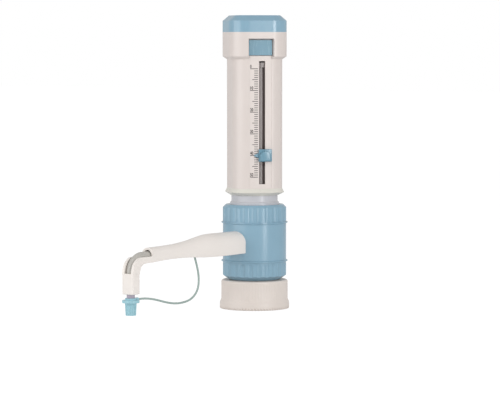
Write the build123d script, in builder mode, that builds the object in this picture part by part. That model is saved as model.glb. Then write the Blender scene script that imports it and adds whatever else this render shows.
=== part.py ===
from build123d import *
from math import asin, cos, pi, radians, sin, sqrt, tan
import os

os.makedirs("parts", exist_ok=True)

# A bottle-top dispenser: a hand pump for 50 ml that screws on to a bottle's neck.
# Millimetres. The origin is on the collar's lower edge, on the axis of the bottle's thread.
# +Z is up and the spout points along -X.

# Clearances
running_clearance = 0.08  # a shaft or ring that turns or slides in its bore
fit_clearance = 0.1  # pieces of one assembly, one inside the other
free_gap = 0.3  # pieces that pass each other without touching

# Collar that grips the bottle's neck
bottle_thread_r = 22.8
collar_wall = 3.5
collar_height = 22.7
collar_roof = 3.2
collar_corner_r = 1.6
skirt_step = 1.2
skirt_height = 6.5

# Adapter that the collar swivels on, and the gasket under it
flange_thickness = 3.5
flange_inset = 0.8  # of the flange inside the bottle's thread
gasket_thickness = 1.5
gasket_bore_r = 8.5
neck_r = 18.5
stem_r = 16.5
adapter_bore_r = 10.2

# Fluted nuts and the valve housing between them
housing_r = 25.05
housing_height = 31.1
bead_width = 1.15  # how far a bead stands out of the housing
bead_height = 1.2
boss_r = 20.8
top_boss_r = 21.8
top_boss_height = 4.9
ring_gap = 0.4  # between the collar and the lower nut
ring_lip = 3.0
lower_ring_height = 14.4
lower_ring_chamfer = 4.55
lower_ring_chamfer_height = 3.3
upper_ring_height = 13.8
upper_ring_chamfer = 2.3
flute_count = 24
flute_r = 3.6
flute_depth = 0.7
flute_margin = 1.6  # plain band between a bead and the flutes

# Valve core, intake valve and discharge valve
core_r = 14.0
main_channel_r = 2.2
side_channel_r = 1.4
intake_valve_r = 7.0
intake_valve_height = 11.2
filling_socket_r = 4.0
filling_socket_depth = 8.0
intake_seat_r = 1.8
intake_ball_r = 3.0
ball_lift = 2.0
stop_pin_r = 0.6
stop_pin_length = 10.2
discharge_pocket_x = -8.2
discharge_pocket_r = 3.4
discharge_seat_r = 1.5
discharge_ball_r = 2.5
discharge_seat_drop = 6.2  # of the seat below the discharge tube
plug_nose_r = 1.4
plug_height = 13.0

# Glass cylinder, its seal and the sleeve around it
cylinder_bore_r = 13.7
cylinder_wall = 1.8
seal_thickness = 1.3
sleeve_flange_r = 21.4
sleeve_flange_thickness = 2.5
sleeve_foot_r = 19.4
sleeve_foot_height = 8.0
sleeve_r = 18.3
sleeve_wide_length = 13.0  # visible lower stretch, before the sleeve steps in
sleeve_slim_r = 16.9
stop_flange_thickness = 3.7

# Piston and its rod
piston_length = 15.0
piston_skirt_gap = 0.35
seal_width = 3.0
seal_depth = 1.4
rod_r = 4.5
rod_shoulder_r = 8.0
rod_shoulder_height = 5.4
journal_r = 5.0
washer_r = 9.0
washer_thickness = 1.2
screw_head_r = 4.5
screw_head_height = 3.5
screw_shank_r = 2.5
screw_shank_length = 10.0

# Volume scale
full_volume = 50.0  # millilitres
set_volume = 40.0
mm_per_ml = 1000.0 / (pi * cylinder_bore_r**2)

# Shroud that is lifted, square with large corner radii
shroud_turn = 50.8  # of the scale's side from the spout, degrees
shroud_flat = 20.2  # from the axis to a side
shroud_corner_r = 12.5
shroud_bore_r = 18.9
panel_distance = 19.9
panel_width = 17.7
slot_width = 4.9
slot_offset = 1.3
slot_below_scale = 5.6
slot_above_scale = 6.0
scale_above_shroud_end = 9.2
guide_ring_rise = 7.3  # of the guide ring's edge above the upper nut
guide_ring_height = 5.7
guide_ring_flare = 1.6
guide_ring_lip = 1.6
spigot_r = 20.0
deck_thickness = 3.5
head_above_scale = 7.3
head_height = 21.4
head_chamfer_height = 2.3
head_flat = 23.3
head_corner_r = 13.95
head_cavity_r = 17.0

# Cap on the head
cap_height = 13.1
cap_chamfer_height = 4.2
cap_chamfer = 5.0
cap_plug_height = 4.0
cap_wall = 2.4

# Calibration cover and screw
cover_width = 18.5
cover_height = 12.0
cover_rise = 3.2  # of its lower edge above the head's lower edge
cover_back = 18.45  # from the axis to its back
cover_front = 20.1
pocket_taper = 10.0
window_width = 12.0
window_height = 7.0
cover_leg = 1.2
calibration_head_r = 2.6
calibration_head_length = 2.4
calibration_shank_r = 1.5
calibration_shank_length = 3.8
calibration_boss_width = 8.0
calibration_boss_depth = 3.5

# Volume slider
slider_left = 1.7
slider_right = 8.75
slider_depth = 4.6
slider_height = 9.8
slider_chamfer = 1.1
pointer_length = 3.5
pointer_base = 4.4
pointer_tip = 0.9
pointer_thickness = 1.3
lug_top = 0.9  # above the pointer's level
lug_height = 4.9
lug_width = 8.0
lug_thickness = 1.3
tenon_size = 3.0

# Spout
tube_r = 3.1
tube_bore_r = 1.9
tube_rise = 12.7  # above the housing's lower edge
tube_bend_r = 18.0
nozzle_reach = 153.3  # from the axis
nozzle_tip = 9.3
spout_drop = 5.2  # of the spout's underside below the tube's centre
spout_wall = 2.0
spout_mouth_reach = 129.0
bend_start_reach = 116.0
end_block_inner = 148.6
end_block_outer = 157.5
end_block_bottom = 22.3
end_block_top = 37.9
spout_inner_r = 6.0
spout_plug_r = 4.9
spout_plug_length = 9.0
root_wall = 2.5  # of the spout where it meets the housing
bend_wall_top = 53.4
rib_thickness = 1.6
anchor_thickness = 5.0
tube_clearance = 0.2

# Sections along the spout: reach from the axis, width, height over the underside
spout_sections = [
    (24.0, 18.0, 17.3),
    (66.0, 17.2, 17.3),
    (76.0, 15.8, 15.3),
    (88.0, 13.4, 13.6),
    (101.0, 11.6, 12.2),
    (spout_mouth_reach, 10.8, 11.0),
]
rib_reaches = [47.0, 104.0]

# Edge of the bend's side walls: reach from the axis, height
bend_wall_route = [(157.1, 37.9), (152.0, 44.9), (143.0, 50.9)]

# Nozzle cap and its tether
cap_barrel_top_r = 4.1
cap_barrel_bottom_r = 3.6
cap_barrel_bottom = 6.5
cap_flange_r = 6.5
cap_flange_bottom = 16.0
cap_flange_thickness = 2.0
cap_rim_r = 4.3
cap_rim_height = 1.5
cap_bore_depth = 10.5
cap_rib_count = 12
cap_rib_r = 0.35
ear_r = 1.4
ear_length = 1.6
tether_r = 0.8

# Route of the tether: reach from the axis, height
tether_route = [
    (76.9, 46.2),
    (73.5, 38.5),
    (71.5, 30.5),
    (71.7, 23.4),
    (74.8, 18.2),
    (81.1, 14.0),
    (88.6, 12.3),
    (97.3, 11.8),
    (106.0, 12.6),
    (114.5, 14.5),
    (123.2, 16.6),
    (131.6, 17.9),
    (138.6, 18.3),
    (145.0, 18.1),
]

# Levels from the bottle upwards
collar_r = bottle_thread_r + collar_wall
skirt_r = collar_r + skirt_step
collar_ceiling = collar_height - collar_roof
flange_top = collar_ceiling - free_gap
flange_bottom = flange_top - flange_thickness
flange_r = bottle_thread_r - flange_inset
gasket_bottom = flange_bottom - gasket_thickness
thread_length = gasket_bottom - free_gap
lower_ring_bottom = collar_height + ring_gap
boss_bottom = lower_ring_bottom + ring_lip + fit_clearance
housing_bottom = lower_ring_bottom + lower_ring_height
stem_top = housing_bottom - 1.4
housing_top = housing_bottom + housing_height
core_top = housing_top + 0.4
boss_top = housing_top + top_boss_height
sleeve_foot_bottom = boss_top + sleeve_flange_thickness
upper_ring_top = housing_top + upper_ring_height
sleeve_foot_top = sleeve_foot_bottom + sleeve_foot_height
sleeve_step = sleeve_foot_top + sleeve_wide_length
cylinder_bottom = core_top + seal_thickness
cylinder_r = cylinder_bore_r + cylinder_wall
guide_ring_bottom = upper_ring_top + guide_ring_rise
shroud_bottom = guide_ring_bottom + guide_ring_height
full_mark = shroud_bottom + scale_above_shroud_end
zero_mark = full_mark + full_volume * mm_per_ml
pointer_level = zero_mark - set_volume * mm_per_ml
stop_flange_bottom = zero_mark + lug_top + running_clearance * 2
sleeve_top = stop_flange_bottom + stop_flange_thickness
cylinder_top = sleeve_top - 1.5
deck_bottom = sleeve_top + free_gap
deck_top = deck_bottom + deck_thickness
head_bottom = zero_mark + head_above_scale
head_top = head_bottom + head_height
cap_top = head_top + cap_height
cover_bottom = head_bottom + cover_rise
cover_centre = cover_bottom + cover_height / 2
piston_bottom = cylinder_bottom + 0.5
piston_top = piston_bottom + piston_length
tube_level = housing_bottom + tube_rise
spout_bottom = tube_level - spout_drop
tube_bend_reach = nozzle_reach - tube_bend_r
tube_start_reach = -discharge_pocket_x + discharge_pocket_r + 0.5
discharge_seat = tube_level - discharge_seat_drop
intake_seat = flange_bottom + intake_valve_height
intake_ball_level = intake_seat + sqrt(intake_ball_r**2 - intake_seat_r**2) + fit_clearance
discharge_ball_level = discharge_seat + sqrt(discharge_ball_r**2 - discharge_seat_r**2) + fit_clearance
stop_pin_level = intake_ball_level + intake_ball_r + ball_lift + fit_clearance + stop_pin_r
intake_chamber_r = intake_ball_r + 0.6
intake_chamber_top = stop_pin_level + 1.4

# Directions of the turned shroud
panel_angle = radians(180.0 + shroud_turn)
panel_normal = Vector(cos(panel_angle), sin(panel_angle), 0)
panel_right = Vector(-sin(panel_angle), cos(panel_angle), 0)
side_view = Plane(origin=(0, 0, 0), x_dir=(-1, 0, 0), z_dir=(0, 1, 0))


def shroud_level(height):
    """A level plane whose x axis points out of the scale's side."""
    return Plane(origin=(0, 0, height), x_dir=panel_normal, z_dir=(0, 0, 1))


def panel_plane(distance, height=0.0):
    """A plane that faces out of the scale's side, with x to the right and y up."""
    origin = panel_normal * distance + Vector(0, 0, height)
    return Plane(origin=origin, x_dir=panel_right, z_dir=panel_normal)


def spout_plane(reach):
    """A plane across the spout that faces its end, with y up."""
    return Plane(origin=(-reach, 0, 0), x_dir=(0, -1, 0), z_dir=(-1, 0, 0))


def profile(*points):
    """A closed outline with straight sides, inside a sketch."""
    Polygon(*points, align=None)


def arch(width, bottom, top):
    """A spout section with straight sides and a half-round top, inside a sketch."""
    half = width / 2
    with BuildLine() as outline:
        Polyline((-half, top - half), (-half, bottom), (half, bottom), (half, top - half))
        ThreePointArc((half, top - half), (0, top), (-half, top - half))
    make_face(outline.edges())


def tube_path():
    """Centre line of the discharge tube from the valve core to the nozzle's tip."""
    with BuildLine(side_view) as path:
        start = Line((tube_start_reach, tube_level), (tube_bend_reach, tube_level))
        bend = TangentArc(start @ 1, (nozzle_reach, tube_level - tube_bend_r), tangent=start % 1)
        Line(bend @ 1, (nozzle_reach, nozzle_tip))
    return path.line


def finish(part, name):
    part.label = name
    export_step(part, f"parts/{name}.step")


# Collar
with BuildPart() as bottle_collar:
    with BuildSketch(Plane.XZ):
        profile(
            (neck_r + running_clearance, collar_ceiling),
            (flange_r + free_gap, collar_ceiling),
            (flange_r + free_gap, thread_length),
            (bottle_thread_r, thread_length),
            (bottle_thread_r, 0),
            (skirt_r, 0),
            (skirt_r, skirt_height),
            (collar_r, skirt_height),
            (collar_r, collar_height),
            (neck_r + running_clearance, collar_height),
        )
    revolve(axis=Axis.Z)
    fillet(bottle_collar.edges().filter_by(GeomType.CIRCLE).group_by(Axis.Z)[-1].sort_by(SortBy.RADIUS)[-1], collar_corner_r)
finish(bottle_collar.part, "bottle_collar")

# Adapter through the collar's roof, screwed into the housing
with BuildPart() as base_adapter:
    with BuildSketch(Plane.XZ):
        profile(
            (adapter_bore_r, flange_bottom),
            (flange_r, flange_bottom),
            (flange_r, flange_top),
            (neck_r, flange_top),
            (neck_r, boss_bottom),
            (stem_r, boss_bottom),
            (stem_r, stem_top),
            (adapter_bore_r, stem_top),
        )
    revolve(axis=Axis.Z)
finish(base_adapter.part, "base_adapter")

with BuildPart() as bottle_gasket:
    with BuildSketch(Plane.XY.offset(gasket_bottom)):
        Circle(flange_r)
        Circle(gasket_bore_r, mode=Mode.SUBTRACT)
    extrude(amount=gasket_thickness)
finish(bottle_gasket.part, "bottle_gasket")

# Housing with a thin bead at each end, bored for the core and for the spout
with BuildPart() as valve_housing:
    with BuildSketch(Plane.XZ):
        profile(
            (stem_r + fit_clearance, boss_bottom),
            (boss_r, boss_bottom),
            (boss_r, housing_bottom),
            (housing_r + bead_width, housing_bottom),
            (housing_r + bead_width, housing_bottom + bead_height * 0.6),
            (housing_r, housing_bottom + bead_height),
            (housing_r, housing_top - bead_height),
            (housing_r + bead_width, housing_top - bead_height * 0.6),
            (housing_r + bead_width, housing_top),
            (top_boss_r, housing_top),
            (top_boss_r, boss_top),
            (cylinder_r + fit_clearance * 2, boss_top),
            (cylinder_r + fit_clearance * 2, core_top),
            (core_r + fit_clearance, core_top),
            (core_r + fit_clearance, stem_top),
            (stem_r + fit_clearance, stem_top),
        )
    revolve(axis=Axis.Z)
    with BuildSketch(spout_plane(core_r - 1)):
        with Locations((0, tube_level)):
            Circle(spout_plug_r + fit_clearance)
    extrude(amount=housing_r, mode=Mode.SUBTRACT)
finish(valve_housing.part, "valve_housing")

# Core that carries the liquid from the intake valve to the cylinder and the spout
with BuildPart() as valve_core:
    with BuildSketch(Plane.XZ):
        profile(
            (0, intake_chamber_top),
            (intake_chamber_r, intake_chamber_top),
            (intake_chamber_r, intake_seat),
            (intake_valve_r + fit_clearance, intake_seat),
            (intake_valve_r + fit_clearance, flange_bottom),
            (adapter_bore_r - fit_clearance, flange_bottom),
            (adapter_bore_r - fit_clearance, stem_top),
            (core_r, stem_top),
            (core_r, core_top),
            (0, core_top),
        )
    revolve(axis=Axis.Z)
    with BuildSketch(Plane.XY.offset(core_top)):
        Circle(main_channel_r)
    extrude(amount=intake_chamber_top - core_top, mode=Mode.SUBTRACT)
    with BuildSketch(Plane.XY.offset(core_top)):
        with Locations((discharge_pocket_x, 0)):
            Circle(discharge_pocket_r)
    extrude(amount=discharge_seat - core_top, mode=Mode.SUBTRACT)
    with BuildSketch(Plane.XY.offset(discharge_seat)):
        with Locations((discharge_pocket_x, 0)):
            Circle(discharge_seat_r)
    extrude(amount=-2 * side_channel_r, mode=Mode.SUBTRACT)
    with BuildSketch(spout_plane(0)):
        with Locations((0, discharge_seat - 2 * side_channel_r)):
            Circle(side_channel_r)
    extrude(amount=-discharge_pocket_x + discharge_seat_r, mode=Mode.SUBTRACT)
    with BuildSketch(spout_plane(-discharge_pocket_x)):
        with Locations((0, tube_level)):
            Circle(tube_bore_r)
    extrude(amount=core_r, mode=Mode.SUBTRACT)
    with BuildSketch(spout_plane(tube_start_reach - fit_clearance)):
        with Locations((0, tube_level)):
            Circle(tube_r + fit_clearance)
    extrude(amount=core_r, mode=Mode.SUBTRACT)
    with BuildSketch(Plane.XZ):
        with Locations((0, stop_pin_level)):
            Circle(stop_pin_r + fit_clearance / 2)
    extrude(amount=stop_pin_length / 2, both=True, mode=Mode.SUBTRACT)
finish(valve_core.part, "valve_core")

with BuildPart() as ball_stop_pin:
    with BuildSketch(Plane.XZ):
        with Locations((0, stop_pin_level)):
            Circle(stop_pin_r)
    extrude(amount=stop_pin_length / 2 - fit_clearance, both=True)
finish(ball_stop_pin.part, "ball_stop_pin")

with BuildPart() as intake_valve:
    with BuildSketch(Plane.XZ):
        profile(
            (filling_socket_r, flange_bottom),
            (intake_valve_r, flange_bottom),
            (intake_valve_r, intake_seat),
            (intake_seat_r, intake_seat),
            (intake_seat_r, flange_bottom + filling_socket_depth),
            (filling_socket_r, flange_bottom + filling_socket_depth),
        )
    revolve(axis=Axis.Z)
finish(intake_valve.part, "intake_valve")

with BuildPart(Plane.XY.offset(intake_ball_level)) as intake_ball:
    Sphere(intake_ball_r)
finish(intake_ball.part, "intake_ball")

with BuildPart(Plane(origin=(discharge_pocket_x, 0, discharge_ball_level))) as discharge_ball:
    Sphere(discharge_ball_r)
finish(discharge_ball.part, "discharge_ball")

# Plug over the discharge valve, whose nose stops the ball
with BuildPart() as discharge_plug:
    with BuildSketch(Plane.XY.offset(core_top)):
        with Locations((discharge_pocket_x, 0)):
            Circle(discharge_pocket_r - fit_clearance / 2)
    extrude(amount=-plug_height)
    nose_end = discharge_ball_level + discharge_ball_r + ball_lift + fit_clearance
    with BuildSketch(Plane.XY.offset(core_top - plug_height)):
        with Locations((discharge_pocket_x, 0)):
            Circle(plug_nose_r)
    extrude(amount=nose_end - core_top + plug_height)
finish(discharge_plug.part, "discharge_plug")


def fluted_nut(outline, flutes_from, flutes_to):
    """A nut turned from its outline, with round flutes between two levels."""
    with BuildPart() as nut:
        with BuildSketch(Plane.XZ):
            profile(*outline)
        revolve(axis=Axis.Z)
        with BuildSketch(Plane.XY.offset(flutes_from)):
            with PolarLocations(housing_r - flute_depth + flute_r, flute_count):
                Circle(flute_r)
        extrude(amount=flutes_to - flutes_from, mode=Mode.SUBTRACT)
    return nut.part


lower_lip_top = lower_ring_bottom + ring_lip
lower_ring = fluted_nut(
    [
        (neck_r + free_gap, lower_ring_bottom),
        (housing_r - lower_ring_chamfer, lower_ring_bottom),
        (housing_r, lower_ring_bottom + lower_ring_chamfer_height),
        (housing_r, housing_bottom),
        (boss_r + fit_clearance, housing_bottom),
        (boss_r + fit_clearance, lower_lip_top),
        (neck_r + free_gap, lower_lip_top),
    ],
    lower_ring_bottom - 1,
    housing_bottom - flute_margin,
)
finish(lower_ring, "lower_ring")

upper_lip_bottom = sleeve_foot_bottom + fit_clearance
upper_ring = fluted_nut(
    [
        (top_boss_r + fit_clearance, housing_top),
        (housing_r, housing_top),
        (housing_r, upper_ring_top - upper_ring_chamfer),
        (housing_r - upper_ring_chamfer, upper_ring_top),
        (sleeve_foot_r + fit_clearance, upper_ring_top),
        (sleeve_foot_r + fit_clearance, upper_lip_bottom),
        (top_boss_r + fit_clearance, upper_lip_bottom),
    ],
    housing_top + flute_margin / 2,
    upper_ring_top + 1,
)
finish(upper_ring, "upper_ring")

# Cylinder, its seal and the sleeve that holds it down
with BuildPart() as cylinder_seal:
    with BuildSketch(Plane.XY.offset(core_top)):
        Circle(cylinder_r)
        Circle(cylinder_bore_r - fit_clearance, mode=Mode.SUBTRACT)
    extrude(amount=seal_thickness)
finish(cylinder_seal.part, "cylinder_seal")

with BuildPart() as glass_cylinder:
    with BuildSketch(Plane.XY.offset(cylinder_bottom)):
        Circle(cylinder_r)
        Circle(cylinder_bore_r, mode=Mode.SUBTRACT)
    extrude(amount=cylinder_top - cylinder_bottom)
finish(glass_cylinder.part, "glass_cylinder")

with BuildPart() as sleeve:
    sleeve_bore_r = cylinder_r + 2 * fit_clearance
    with BuildSketch(Plane.XZ):
        profile(
            (sleeve_bore_r, boss_top),
            (sleeve_flange_r, boss_top),
            (sleeve_flange_r, sleeve_foot_bottom),
            (sleeve_foot_r, sleeve_foot_bottom),
            (sleeve_foot_r, sleeve_foot_top),
            (sleeve_r, sleeve_foot_top + sleeve_foot_r - sleeve_r),
            (sleeve_r, sleeve_step),
            (sleeve_slim_r, sleeve_step + sleeve_r - sleeve_slim_r),
            (sleeve_slim_r, stop_flange_bottom),
            (shroud_bore_r - running_clearance, stop_flange_bottom),
            (shroud_bore_r - running_clearance, sleeve_top),
            (cylinder_bore_r + 0.5, sleeve_top),
            (cylinder_bore_r + 0.5, cylinder_top + fit_clearance),
            (sleeve_bore_r, cylinder_top + fit_clearance),
        )
    revolve(axis=Axis.Z)
finish(sleeve.part, "sleeve")

# Piston
seal_levels = [piston_bottom + 2.5, piston_top - 2.5 - seal_width]
piston_groove_r = cylinder_bore_r - seal_depth
with BuildPart() as piston_head:
    with BuildSketch(Plane.XY.offset(piston_bottom)):
        Circle(cylinder_bore_r - piston_skirt_gap)
    extrude(amount=piston_length)
    for level in seal_levels:
        with BuildSketch(Plane.XY.offset(level)):
            Circle(cylinder_bore_r)
            Circle(piston_groove_r, mode=Mode.SUBTRACT)
        extrude(amount=seal_width, mode=Mode.SUBTRACT)
    with BuildSketch(Plane.XY.offset(piston_top)):
        Circle(rod_r + fit_clearance / 2)
    extrude(amount=-0.7 * piston_length, mode=Mode.SUBTRACT)
finish(piston_head.part, "piston_head")

with BuildPart() as piston_seals:
    for level in seal_levels:
        with BuildSketch(Plane.XY.offset(level + fit_clearance / 2)):
            Circle(cylinder_bore_r - running_clearance)
            Circle(piston_groove_r + fit_clearance / 2, mode=Mode.SUBTRACT)
        extrude(amount=seal_width - fit_clearance)
finish(piston_seals.part, "piston_seals")

journal_top = deck_top + fit_clearance
with BuildPart() as piston_rod:
    rod_shoulder_top = deck_bottom - fit_clearance
    with BuildSketch(Plane.XZ):
        profile(
            (0, piston_top - 0.7 * piston_length),
            (rod_r, piston_top - 0.7 * piston_length),
            (rod_r, rod_shoulder_top - rod_shoulder_height),
            (rod_shoulder_r, rod_shoulder_top - rod_shoulder_height),
            (rod_shoulder_r, rod_shoulder_top),
            (journal_r, rod_shoulder_top),
            (journal_r, journal_top),
            (screw_shank_r + fit_clearance / 2, journal_top),
            (screw_shank_r + fit_clearance / 2, journal_top - screw_shank_length),
            (0, journal_top - screw_shank_length),
        )
    revolve(axis=Axis.Z)
finish(piston_rod.part, "piston_rod")

with BuildPart() as rod_washer:
    with BuildSketch(Plane.XY.offset(journal_top)):
        Circle(washer_r)
        Circle(screw_shank_r + fit_clearance / 2, mode=Mode.SUBTRACT)
    extrude(amount=washer_thickness)
finish(rod_washer.part, "rod_washer")

with BuildPart() as rod_screw:
    screw_seat = journal_top + washer_thickness
    with BuildSketch(Plane.XY.offset(screw_seat)):
        Circle(screw_head_r)
    extrude(amount=screw_head_height)
    with BuildSketch(Plane.XY.offset(screw_seat)):
        Circle(screw_shank_r)
    extrude(amount=-washer_thickness - screw_shank_length + 0.5)
    with BuildSketch(Plane.XY.offset(screw_seat + screw_head_height)):
        RegularPolygon(screw_head_r / 2, 6)
    extrude(amount=-0.6 * screw_head_height, mode=Mode.SUBTRACT)
finish(rod_screw.part, "rod_screw")

# Shroud
pocket_clearance = 0.2
with BuildPart() as shroud:
    with BuildSketch(shroud_level(shroud_bottom)):
        RectangleRounded(2 * shroud_flat, 2 * shroud_flat, shroud_corner_r)
    extrude(amount=head_bottom - shroud_bottom)
    with BuildSketch(shroud_level(head_bottom)):
        RectangleRounded(2 * shroud_flat, 2 * shroud_flat, shroud_corner_r)
    with BuildSketch(shroud_level(head_bottom + head_chamfer_height)):
        RectangleRounded(2 * head_flat, 2 * head_flat, head_corner_r)
    loft()
    with BuildSketch(shroud_level(head_bottom + head_chamfer_height)):
        RectangleRounded(2 * head_flat, 2 * head_flat, head_corner_r)
    extrude(amount=head_height - head_chamfer_height)
    # spigot that the guide ring grips
    with BuildSketch(shroud_level(shroud_bottom)):
        Circle(spigot_r)
    extrude(amount=guide_ring_lip + fit_clearance - guide_ring_height)
    # bore for the sleeve's stop flange, hole for the rod, and room above the deck
    with BuildSketch(shroud_level(guide_ring_bottom)):
        Circle(shroud_bore_r)
    extrude(amount=deck_bottom - guide_ring_bottom, mode=Mode.SUBTRACT)
    with BuildSketch(shroud_level(deck_bottom)):
        Circle(journal_r + running_clearance)
    extrude(amount=deck_thickness, mode=Mode.SUBTRACT)
    with BuildSketch(shroud_level(deck_top)):
        Circle(head_cavity_r)
    extrude(amount=head_top - deck_top, mode=Mode.SUBTRACT)
    # boss for the calibration screw
    calibration_boss_outer = cover_back - 5.1
    with BuildSketch(shroud_level(deck_top)):
        with Locations((calibration_boss_outer - calibration_boss_depth / 2, 0)):
            Rectangle(calibration_boss_depth, calibration_boss_width)
    extrude(amount=cover_centre - deck_top + calibration_head_r + 1)
    # recessed scale panel
    with BuildSketch(panel_plane(panel_distance, shroud_bottom)):
        with Locations((0, (cover_bottom - shroud_bottom) / 2)):
            Rectangle(panel_width, cover_bottom - shroud_bottom)
    extrude(amount=head_flat, taper=-pocket_taper, mode=Mode.SUBTRACT)
    # pocket and window behind the calibration cover
    with BuildSketch(panel_plane(cover_back - fit_clearance, cover_centre)):
        Rectangle(cover_width + 2 * pocket_clearance, cover_height + 2 * pocket_clearance)
    extrude(amount=head_flat, taper=-pocket_taper, mode=Mode.SUBTRACT)
    with BuildSketch(panel_plane(cover_back, cover_centre)):
        Rectangle(window_width, window_height)
    extrude(amount=head_cavity_r - cover_back - 4, mode=Mode.SUBTRACT)
    with BuildSketch(panel_plane(calibration_boss_outer, cover_centre)):
        Circle(calibration_shank_r + running_clearance)
    extrude(amount=-calibration_boss_depth, mode=Mode.SUBTRACT)
    # slot for the volume slider
    slot_bottom = full_mark - slot_below_scale
    slot_top = zero_mark + slot_above_scale
    with BuildSketch(panel_plane(shroud_flat + 1, (slot_bottom + slot_top) / 2)):
        with Locations((slot_offset, 0)):
            Rectangle(slot_width, slot_top - slot_bottom)
    extrude(amount=-shroud_flat / 2, mode=Mode.SUBTRACT)
finish(shroud.part, "shroud")

with BuildPart() as guide_ring:
    widest = shroud_bottom - 3.2
    with BuildSketch(shroud_level(guide_ring_bottom)):
        corner_r = sleeve_r + 0.1
        RectangleRounded(2 * sleeve_r + 1, 2 * sleeve_r + 1, corner_r)
    with BuildSketch(shroud_level(widest)):
        flat = shroud_flat + guide_ring_flare
        RectangleRounded(2 * flat, 2 * flat, shroud_corner_r + guide_ring_flare)
    loft()
    with BuildSketch(shroud_level(widest)):
        RectangleRounded(2 * flat, 2 * flat, shroud_corner_r + guide_ring_flare)
    with BuildSketch(shroud_level(shroud_bottom)):
        RectangleRounded(2 * shroud_flat, 2 * shroud_flat, shroud_corner_r)
    loft()
    with BuildSketch(shroud_level(guide_ring_bottom + guide_ring_lip)):
        Circle(spigot_r + fit_clearance / 2)
    extrude(amount=guide_ring_height, mode=Mode.SUBTRACT)
    with BuildSketch(shroud_level(guide_ring_bottom)):
        Circle(sleeve_r + free_gap)
    extrude(amount=guide_ring_height, mode=Mode.SUBTRACT)
finish(guide_ring.part, "guide_ring")

with BuildPart() as top_cap:
    cap_edge = cap_top - cap_chamfer_height
    with BuildSketch(shroud_level(head_top)):
        RectangleRounded(2 * head_flat, 2 * head_flat, head_corner_r)
    extrude(amount=cap_edge - head_top)
    with BuildSketch(shroud_level(cap_edge)):
        RectangleRounded(2 * head_flat, 2 * head_flat, head_corner_r)
    with BuildSketch(shroud_level(cap_top)):
        top_flat = head_flat - cap_chamfer
        RectangleRounded(2 * top_flat, 2 * top_flat, head_corner_r - cap_chamfer)
    loft()
    with BuildSketch(shroud_level(head_top)):
        Circle(head_cavity_r - fit_clearance)
    extrude(amount=-cap_plug_height)
    with BuildSketch(shroud_level(head_top - cap_plug_height)):
        Circle(head_cavity_r - fit_clearance - cap_wall)
    extrude(amount=cap_plug_height + cap_height - cap_wall, mode=Mode.SUBTRACT)
finish(top_cap.part, "top_cap")

# Calibration cover, clipped into its pocket, and the screw behind it
with BuildPart() as calibration_cover:
    with BuildSketch(panel_plane(cover_back, cover_centre)):
        Rectangle(cover_width, cover_height)
    extrude(amount=cover_front - cover_back)
    with BuildSketch(panel_plane(cover_back, cover_centre)):
        with GridLocations(window_width - cover_leg - 2 * pocket_clearance, 0, 2, 1):
            Rectangle(cover_leg, window_height / 2)
    extrude(amount=head_cavity_r - cover_back - cover_leg)
finish(calibration_cover.part, "calibration_cover")

with BuildPart() as calibration_screw:
    head_seat = calibration_boss_outer + fit_clearance
    with BuildSketch(panel_plane(head_seat, cover_centre)):
        Circle(calibration_head_r)
    extrude(amount=calibration_head_length)
    with BuildSketch(panel_plane(head_seat, cover_centre)):
        Circle(calibration_shank_r)
    extrude(amount=-calibration_shank_length)
    with BuildSketch(panel_plane(head_seat + calibration_head_length, cover_centre)):
        Rectangle(2 * calibration_head_r, 0.8)
    extrude(amount=-calibration_head_length / 2, mode=Mode.SUBTRACT)
finish(calibration_screw.part, "calibration_screw")

# Volume slider with its pointer, and the stop lug inside the shroud
lug_level = pointer_level + lug_top - lug_height
lug_outer_r = shroud_bore_r - free_gap - running_clearance
with BuildPart() as volume_slider:
    body_back = panel_distance + 0.2
    body_front = body_back + slider_depth
    with BuildSketch(shroud_level(pointer_level - slider_height / 2)):
        profile(
            (body_back, -slider_left),
            (body_front - 1.2, 0.4 - slider_left),
            (body_front, 1.9 - slider_left),
            (body_front, 0.5 * slider_right),
            (body_front - 0.8, 0.7 * slider_right),
            (body_back + 1.1, slider_right),
            (body_back, slider_right),
        )
    extrude(amount=slider_height)
    front_edges = volume_slider.edges().filter_by(lambda edge: (edge.center() - panel_normal * body_front).dot(panel_normal) > -0.01)
    level_edges = front_edges.filter_by(Axis.Z, reverse=True)
    chamfer(level_edges, slider_chamfer)
    with BuildSketch(panel_plane(body_back, pointer_level)):
        profile(
            (-slider_left + 0.4, -pointer_base / 2),
            (-slider_left + 0.4, pointer_base / 2),
            (-slider_left - pointer_length, pointer_tip / 2),
            (-slider_left - pointer_length, -pointer_tip / 2),
        )
    extrude(amount=pointer_thickness)
    with BuildSketch(panel_plane(body_back, lug_level + lug_height / 2)):
        with Locations((slot_offset, 0)):
            Rectangle(slot_width - 2 * free_gap, lug_height)
    extrude(amount=lug_outer_r + fit_clearance - body_back)
    with BuildSketch(panel_plane(body_back, lug_level + lug_height / 2)):
        with Locations((slot_offset, 0)):
            Rectangle(tenon_size, tenon_size)
    extrude(amount=lug_outer_r - lug_thickness - body_back)
finish(volume_slider.part, "volume_slider")

with BuildPart() as slider_lug:
    with BuildSketch(shroud_level(lug_level)):
        Circle(lug_outer_r)
        Circle(lug_outer_r - lug_thickness, mode=Mode.SUBTRACT)
        with Locations((lug_outer_r, slot_offset)):
            Rectangle(lug_outer_r, lug_width, mode=Mode.INTERSECT)
    extrude(amount=lug_height)
    with BuildSketch(panel_plane(panel_distance, lug_level + lug_height / 2)):
        with Locations((slot_offset, 0)):
            Rectangle(tenon_size + fit_clearance, tenon_size + fit_clearance)
    extrude(amount=-panel_distance / 2, mode=Mode.SUBTRACT)
finish(slider_lug.part, "slider_lug")

# Discharge tube, which ends as the nozzle
with BuildPart() as discharge_tube:
    route = tube_path()
    with BuildSketch(spout_plane(tube_start_reach)):
        with Locations((0, tube_level)):
            Circle(tube_r)
            Circle(tube_bore_r, mode=Mode.SUBTRACT)
    sweep(path=route)
finish(discharge_tube.part, "discharge_tube")

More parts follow.
